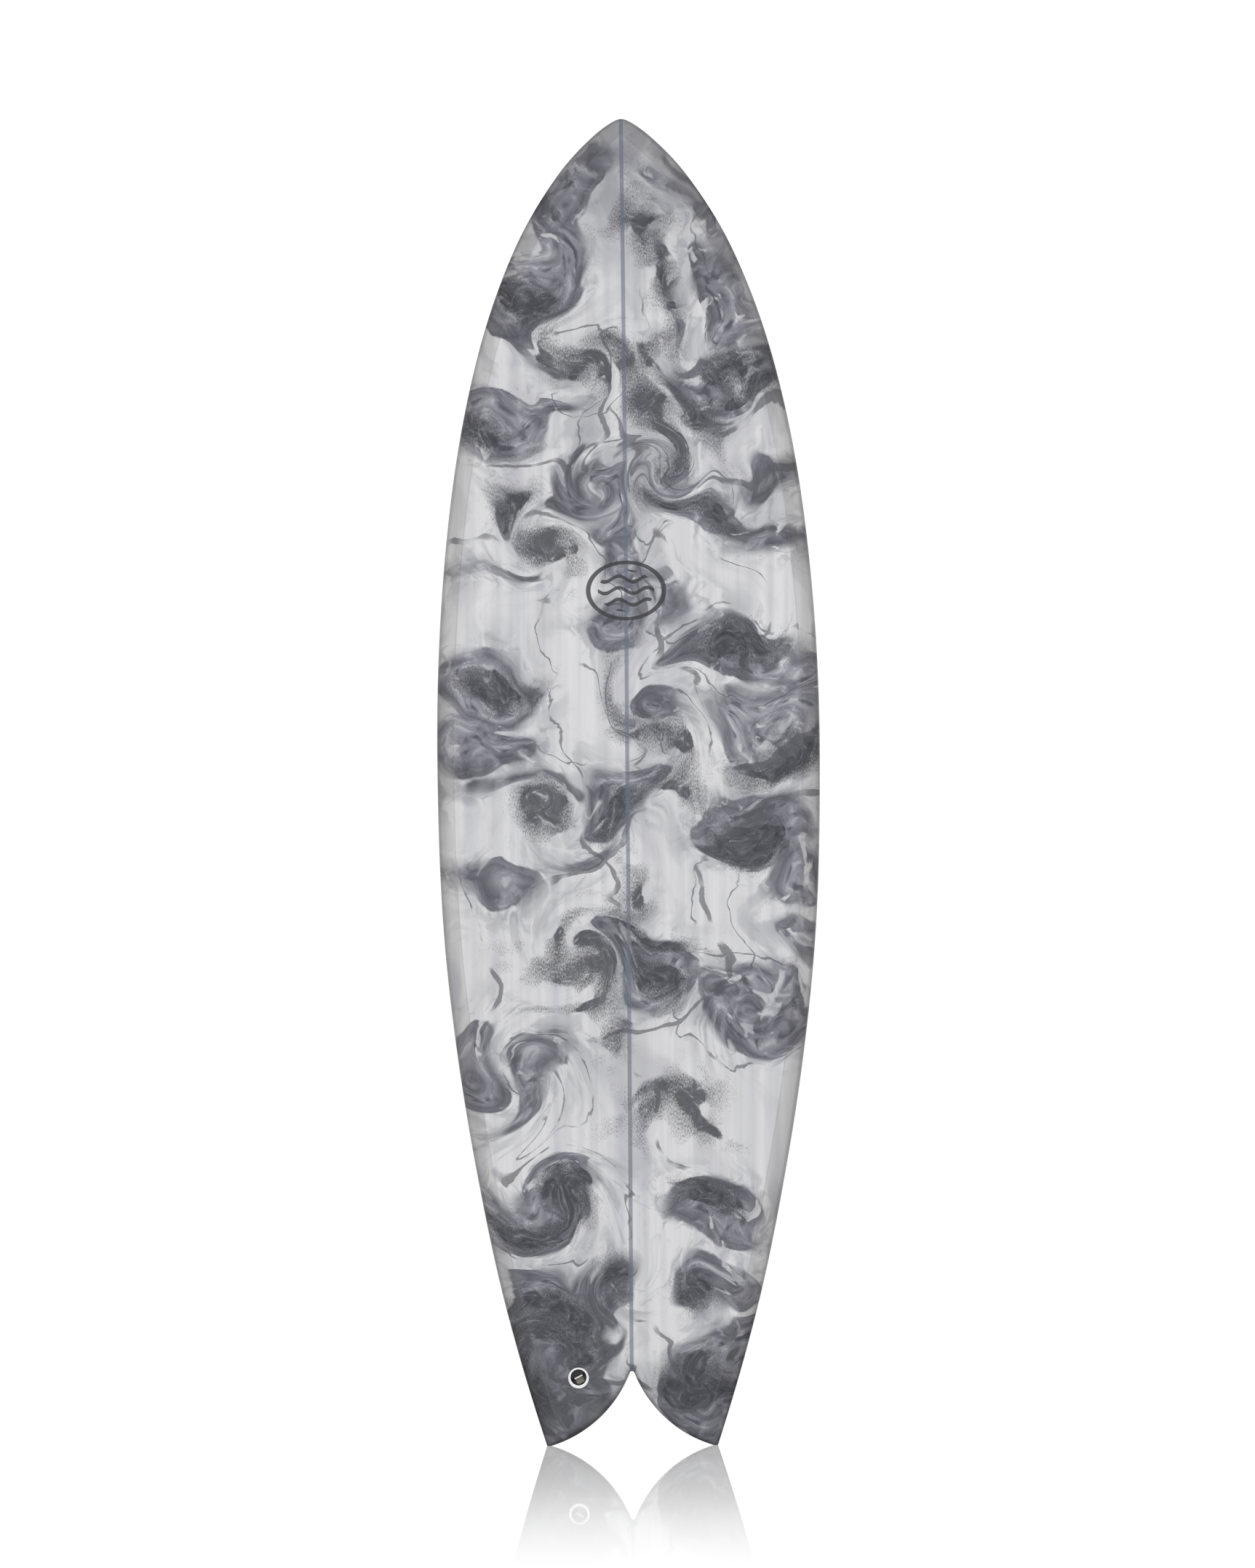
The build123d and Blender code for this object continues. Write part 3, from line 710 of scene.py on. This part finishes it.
    def grey_pours(self, colour):
        """Grey pours: crisp here, feathered there, marbled within, darker at the rim, with painted shade
        darkening them towards the tail.
        """
        softness = self.noise(self.flat, 70.0, 1.0, offset=(4.0, 4.0))
        edge = self.ease(softness, 0.42, 0.68, (1.3, 20.0))
        cover = self.ease(self.math("DIVIDE", self.grey_field, edge), 1.0, -1.0)
        marble = self.noise(self.swirl, 58.0, 4.0, 2.2, (0.4, 0.7), 0.52)
        inputs = {0: self.grey_field, 1: self.times(marble, 90.0)}
        contour_at = self.add("ShaderNodeCombineXYZ", inputs).outputs[0]
        contour = self.noise(contour_at, (9.0, 30.0, 1.0), 4.0, 0.4)
        nested = self.math("MULTIPLY_ADD", self.math("SUBTRACT", contour, 0.5), 0.75, marble)
        depth = self.noise(self.flat, 150.0, 1.0, offset=(2.0, 6.0))
        nested = self.math("MULTIPLY_ADD", self.math("SUBTRACT", depth, 0.5), 0.5, nested)
        # Painted shade: the pours' tone darkens towards the tail.
        nested = self.math("SUBTRACT", nested, self.ease(self.z, 260.0, 90.0, (0.0, 0.12)))
        tone = self.ramp(
            nested,
            (0.26, (68, 69, 77)),
            (0.39, (92, 93, 102)),
            (0.50, (114, 115, 124)),
            (0.61, (136, 137, 145)),
            (0.76, (174, 174, 180)),
        )
        rim = self.near(self.grey_field, -2.2, 2.6, 0.4)
        tone = self.mix(self.times(rim, 0.45), tone, (84, 85, 92))
        openings = self.ease(self.noise(self.swirl, 60.0, 3.0, 1.6, (7.0, 1.0)), 0.6, 0.66)
        openings = self.times(openings, self.ease(self.z, 60.0, 260.0), 0.75)
        cover = self.times(cover, self.math("SUBTRACT", 1.0, openings))
        return self.mix(self.times(cover, 0.95), colour, tone)

    def dark_pours(self, colour):
        """Dark pours: brushed, with stippled edges."""
        speckle = self.noise(self.flat, (1.6, 3.4, 1.0))
        wide = self.ease(self.noise(self.flat, 38.0, 1.0, offset=(8.0, 1.0)), 0.34, 0.60, (1.2, 24.0))
        stipple = self.times(self.math("SUBTRACT", speckle, 0.5), self.times(wide, 2.4))
        away = self.math("DIVIDE", self.math("ADD", self.dark_field, stipple), wide)
        folds = self.noise(self.swirl, 26.0, 5.0, 3.0, (2.0, 5.0), 0.6)
        tone = self.ramp(
            folds,
            (0.32, (40, 41, 46)),
            (0.48, (58, 59, 66)),
            (0.60, (80, 81, 89)),
            (0.72, (122, 123, 130)),
        )
        cover = self.times(self.ease(away, 0.9, -0.9), self.ease(folds, 0.74, 0.58, (0.45, 1.0)))
        return self.mix(self.times(cover, 0.9), colour, tone)

    def threads(self, colour):
        """Thin broken lines."""
        broken = self.ease(self.noise(self.flat, 60.0, offset=(5.0, 9.0)), 0.44, 0.54)
        fine = self.math("MULTIPLY_ADD", self.noise(self.flat, 14.0), 2.4, 0.1)
        thread = self.ease(self.math("DIVIDE", self.thread_field, fine), 1.3, 0.4)
        return self.mix(self.times(thread, broken, 0.72), colour, (82, 83, 90))

    def stringer_line(self, colour):
        """The stringer, seen through the glass."""
        return self.mix(self.times(self.near(self.x, 0.0, 3.3, 2.2), 0.66), colour, (96, 104, 122))

    def emblem(self, colour):
        """A plain oval with three waves, on the deck."""
        across = self.math("DIVIDE", self.x, EMBLEM_SIZE[0])
        along = self.math("DIVIDE", self.math("SUBTRACT", self.z, EMBLEM_Z), EMBLEM_SIZE[1])
        squares = self.math("MULTIPLY_ADD", along, along, self.times(across, across))
        reach = self.math("SQRT", squares)
        border = self.near(reach, 0.95, 0.066, 0.052)
        crest = self.math("MULTIPLY_ADD", self.math("SINE", self.times(self.x, 0.16)), 4.0, self.z)
        row = self.math("PINGPONG", self.math("SUBTRACT", crest, EMBLEM_Z), 8.0)
        wave = self.times(self.ease(row, 2.9, 2.3), self.ease(reach, 0.72, 0.70))
        ink = self.times(self.math("MAXIMUM", border, wave), self.math("SUBTRACT", 1.0, self.under))
        return self.mix(self.times(ink, self.ease(self.inset, 30.0, 60.0), 0.9), colour, (52, 52, 56))

    def lap(self, colour):
        """The bottom cloth's lap, darker and warmer outside its cut line, and painted shade darkening the
        colour towards the rails and the notch's edges.
        """
        lap = self.ease(self.inset, LAP_INSET + 0.8, LAP_INSET - 0.8)
        colour = self.mix(self.times(lap, 0.6), colour, (232, 230, 226), "MULTIPLY")
        cut_line = self.near(self.inset, LAP_INSET, 1.1, 0.3)
        colour = self.mix(self.times(cut_line, 0.25), colour, (120, 120, 126))
        # Painted shade: the colour darkens close to the outline and the notch's edges, where the rails turn
        # away from the light.
        painted_edge_shade = self.ease(self.edge, 0.0, 7.0, (0.66, 1.0))
        painted_edge_shade_wide = self.ease(self.edge, 2.0, 30.0, (0.82, 1.0))
        return self.vector("SCALE", colour, scale=self.times(painted_edge_shade, painted_edge_shade_wide))


def plain(name, dark, light, size, roughness, **more):
    """A finish with slow mottling in colour and roughness."""
    n = Finish(name)
    colour = n.ramp(n.noise(n.place, size, 4.0), (0.3, dark), (0.7, light))
    worn = n.ease(n.noise(n.place, size / 3, 3.0), 0.3, 0.7, roughness)
    return n.set(Base_Color=colour, Roughness=worn, **more)


def wood():
    """The stringer's straight grain."""
    n = Finish("stringer_wood")
    grain = n.noise(n.place, (0.0012, 0.0012, 0.09), 4.0, 0.3)
    colour = n.ramp(grain, (0.3, (196, 160, 112)), (0.55, (214, 184, 138)), (0.72, (176, 138, 92)))
    return n.set(Base_Color=colour, Roughness=0.55)


def fibreglass():
    """Laid-up fin sheet: a fine weave under resin."""
    n = Finish("fin_sheet")
    wave = {"Vector": n.place, "Scale": 420.0, "Distortion": 0.6, "Detail": 1.0}
    warp = n.add("ShaderNodeTexWave", wave, bands_direction="Y").outputs["Fac"]
    weft = n.add("ShaderNodeTexWave", wave, bands_direction="Z").outputs["Fac"]
    weave = n.math("MULTIPLY", warp, weft)
    cloud = n.noise(n.place, 0.035, 4.0, 1.2)
    colour = n.ramp(cloud, (0.32, (62, 64, 70)), (0.5, (84, 86, 93)), (0.68, (118, 119, 126)))
    colour = n.mix(n.math("MULTIPLY", weave, 0.12), colour, (150, 152, 158))
    return n.set(Base_Color=colour, Roughness=0.2, Coat_Weight=0.5, Coat_Roughness=0.04)


def pin_steel():
    """The bar across the leash cup: a painted highlight along its middle, and painted shade darkening its
    ends.
    """
    n = Finish("pin_steel")
    turn = math.radians(PIN_TURN)
    direction = (math.cos(turn), 0, math.sin(turn))
    away = n.vector("SUBTRACT", n.place, middle_of("leash_plug_pin") * MM)
    along = n.vector("DOT_PRODUCT", away, direction)
    # Painted highlight: the base colour is bright steel along the pin's middle and dark towards its ends.
    painted_highlight = n.ease(n.math("ABSOLUTE", along), 0.0064, 0.0054)
    marks = n.noise(n.place, (0.0004, 0.0004, 0.004), 3.0)
    polished = n.ramp(marks, (0.3, (236, 237, 240)), (0.7, (250, 250, 252)))
    return n.set(Base_Color=n.mix(painted_highlight, (46, 46, 48), polished), Roughness=0.22, Metallic=1.0)


foam_finish = plain("foam", (232, 230, 224), (242, 241, 237), 0.004, (0.8, 0.95))
white_finish = plain("white_plastic", (238, 238, 241), (250, 250, 252), 0.003, (0.32, 0.5))
resin_finish = plain("resin", (150, 150, 155), (172, 172, 177), 0.006, (0.15, 0.3))
# The finish of each CAD node that stays, by the start of its name
FINISHES = {
    "leash_plug_flange": white_finish,
    "leash_plug_cup": plain("black_plastic", (16, 16, 17), (30, 30, 31), 0.002, (0.18, 0.35)),
    "leash_plug_pin": pin_steel(),
    "leash_plug_pad": plain("grey_plastic", (146, 141, 130), (172, 166, 154), 0.0015, (0.4, 0.6)),
    "leash_plug_setting": resin_finish,
    "fin_plug": white_finish,
    "fin_screw": plain("steel", (196, 197, 200), (222, 223, 225), 0.0012, (0.14, 0.3), Metallic=1.0),
    "fin_setting": resin_finish,
    "keel_fin": fibreglass(),
}

# --- Pieces -----------------------------------------------------------------------------------------
deck_skin = skin("deck_skin", 1, Swirl("deck_swirl", False).material)
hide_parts("deck_glass")
bottom_skin = skin("bottom_skin", 0, Swirl("bottom_swirl", True).material)
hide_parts("bottom_glass", "tail_tip_left", "tail_tip_right")
half_stringer = STRINGER_WIDTH / 2
core_left = core("core_left", None, -half_stringer, foam_finish)
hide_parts("foam_blank_left")
core_right = core("core_right", half_stringer, None, foam_finish)
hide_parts("foam_blank_right")
core_middle = core("core_stringer", -half_stringer, half_stringer, wood())
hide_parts("stringer")

leash_plug = middle_of("leash_plug_flange")
bore(deck_skin, leash_plug, (0, 1, 0), **LEASH_HOLE)
bore(core_left, leash_plug, (0, 1, 0), **{**LEASH_HOLE, "radius": LEASH_CORE_RADIUS})
# Each fin slides along its plugs' axis
axes = {joint["child"]: joint["axis"] for joint in frame["joints"]}
for foam, hand in ((core_left, "left"), (core_right, "right")):
    for end in ("front", "rear"):
        for part in (bottom_skin, foam):
            bore(part, middle_of(f"fin_plug_{hand}_{end}"), axes[f"fin_{hand}"], **PLUG_HOLE)

for part in (deck_skin, bottom_skin, core_left, core_right, core_middle):
    smooth(part.data)

for name, node in frame["nodes"].items():
    for start, finish in FINISHES.items():
        if name.startswith(start):
            node.data.materials.clear()
            node.data.materials.append(finish)
            smooth(node.data, angle=30)

# --- Studio -----------------------------------------------------------------------------------------
AZIMUTH, LEAN = math.radians(2.5), math.radians(0.41)
DISTANCE, LENS = 25.0, 416.0
AIM = Vector((0.0, -0.05, 0.9131))
FLOOR_REACH = 60.0
MIRROR_REACH = 0.175 * DISTANCE
# Name, place, what it points at, size, power in watts
LIGHTS = (
    ("key", (-1.2, -3.6, 2.6), (0, 0, 0.95), (2.4, 2.4), 36),
    ("fill", (1.8, -3.4, 1.4), (0, 0, 0.9), (1.6, 2.6), 18),
)


def place_in_scene(name, data):
    """A new object in the scene."""
    obj = bpy.data.objects.new(name, data)
    bpy.context.collection.objects.link(obj)
    return obj


def mirror_floor():
    """White floor that mirrors the board near its foot and fades to plain white."""
    n = Finish("floor_white")
    fade = n.ease(n.vector("LENGTH", n.place), MIRROR_REACH, 0.0, (0.0, 0.62))
    white = rgb((255, 255, 255))
    glossy = n.add("ShaderNodeBsdfGlossy", {"Color": white, "Roughness": 0.015}).outputs[0]
    plain_white = n.add("ShaderNodeEmission", {"Color": white, "Strength": 1.02}).outputs[0]
    both = n.add("ShaderNodeMixShader", {0: fade, 1: plain_white, 2: glossy}).outputs[0]
    n.put(n.tree.nodes["Material Output"].inputs["Surface"], both)
    return n.material


def studio_world():
    """Soft light from all round, dimmer at the sides and below, and white behind the floor's edge."""
    world = bpy.data.worlds.new("studio")
    world.use_nodes = True
    sky = Nodes(world.node_tree)
    direction = sky.add("ShaderNodeTexCoord").outputs["Generated"]
    x, _, z = sky.add("ShaderNodeSeparateXYZ", {0: direction}).outputs
    beside = sky.ease(sky.math("ABSOLUTE", x), 0.30, 0.95, (1.0, 0.30))
    below = sky.ease(z, -0.25, 0.0, (0.35, 1.0))
    level = sky.ease(sky.math("ABSOLUTE", z), 0.34, 0.2)
    strength = sky.math("MAXIMUM", sky.math("MULTIPLY", beside, below), level)
    background = sky.tree.nodes["Background"].inputs
    sky.put(background["Strength"], sky.math("MULTIPLY", strength, 1.1))
    sky.put(background["Color"], (1, 1, 1, 1))
    return world


floor_mesh = bpy.data.meshes.new("floor")
corners = [(x * FLOOR_REACH, y * FLOOR_REACH, 0) for x, y in ((-1, -1), (1, -1), (1, 1), (-1, 1))]
floor_mesh.from_pydata(corners, [], [(0, 1, 2, 3)])
floor_mesh.materials.append(mirror_floor())
floor = place_in_scene("floor", floor_mesh)
floor.visible_diffuse = floor.visible_glossy = False

for name, location, target, size, power in LIGHTS:
    light = bpy.data.lights.new(name, "AREA")
    light.shape, light.energy = "RECTANGLE", power
    light.size, light.size_y = size
    lamp = place_in_scene(name, light)
    lamp.location = location
    lamp.rotation_euler = (Vector(target) - Vector(location)).to_track_quat("-Z", "Y").to_euler()
    lamp.visible_glossy = False

bpy.context.scene.world = studio_world()
bpy.context.scene.view_settings.view_transform = "Standard"

camera = place_in_scene("camera", bpy.data.cameras.new("camera"))
bpy.context.scene.camera = camera
camera.location = AIM + Vector((math.sin(AZIMUTH), -math.cos(AZIMUTH), 0)) * DISTANCE
camera.rotation_euler = (math.radians(90), LEAN, AZIMUTH)
camera.data.lens, camera.data.sensor_fit, camera.data.sensor_width = LENS, "AUTO", 36.0
camera.data.clip_start, camera.data.clip_end = 0.5, 200
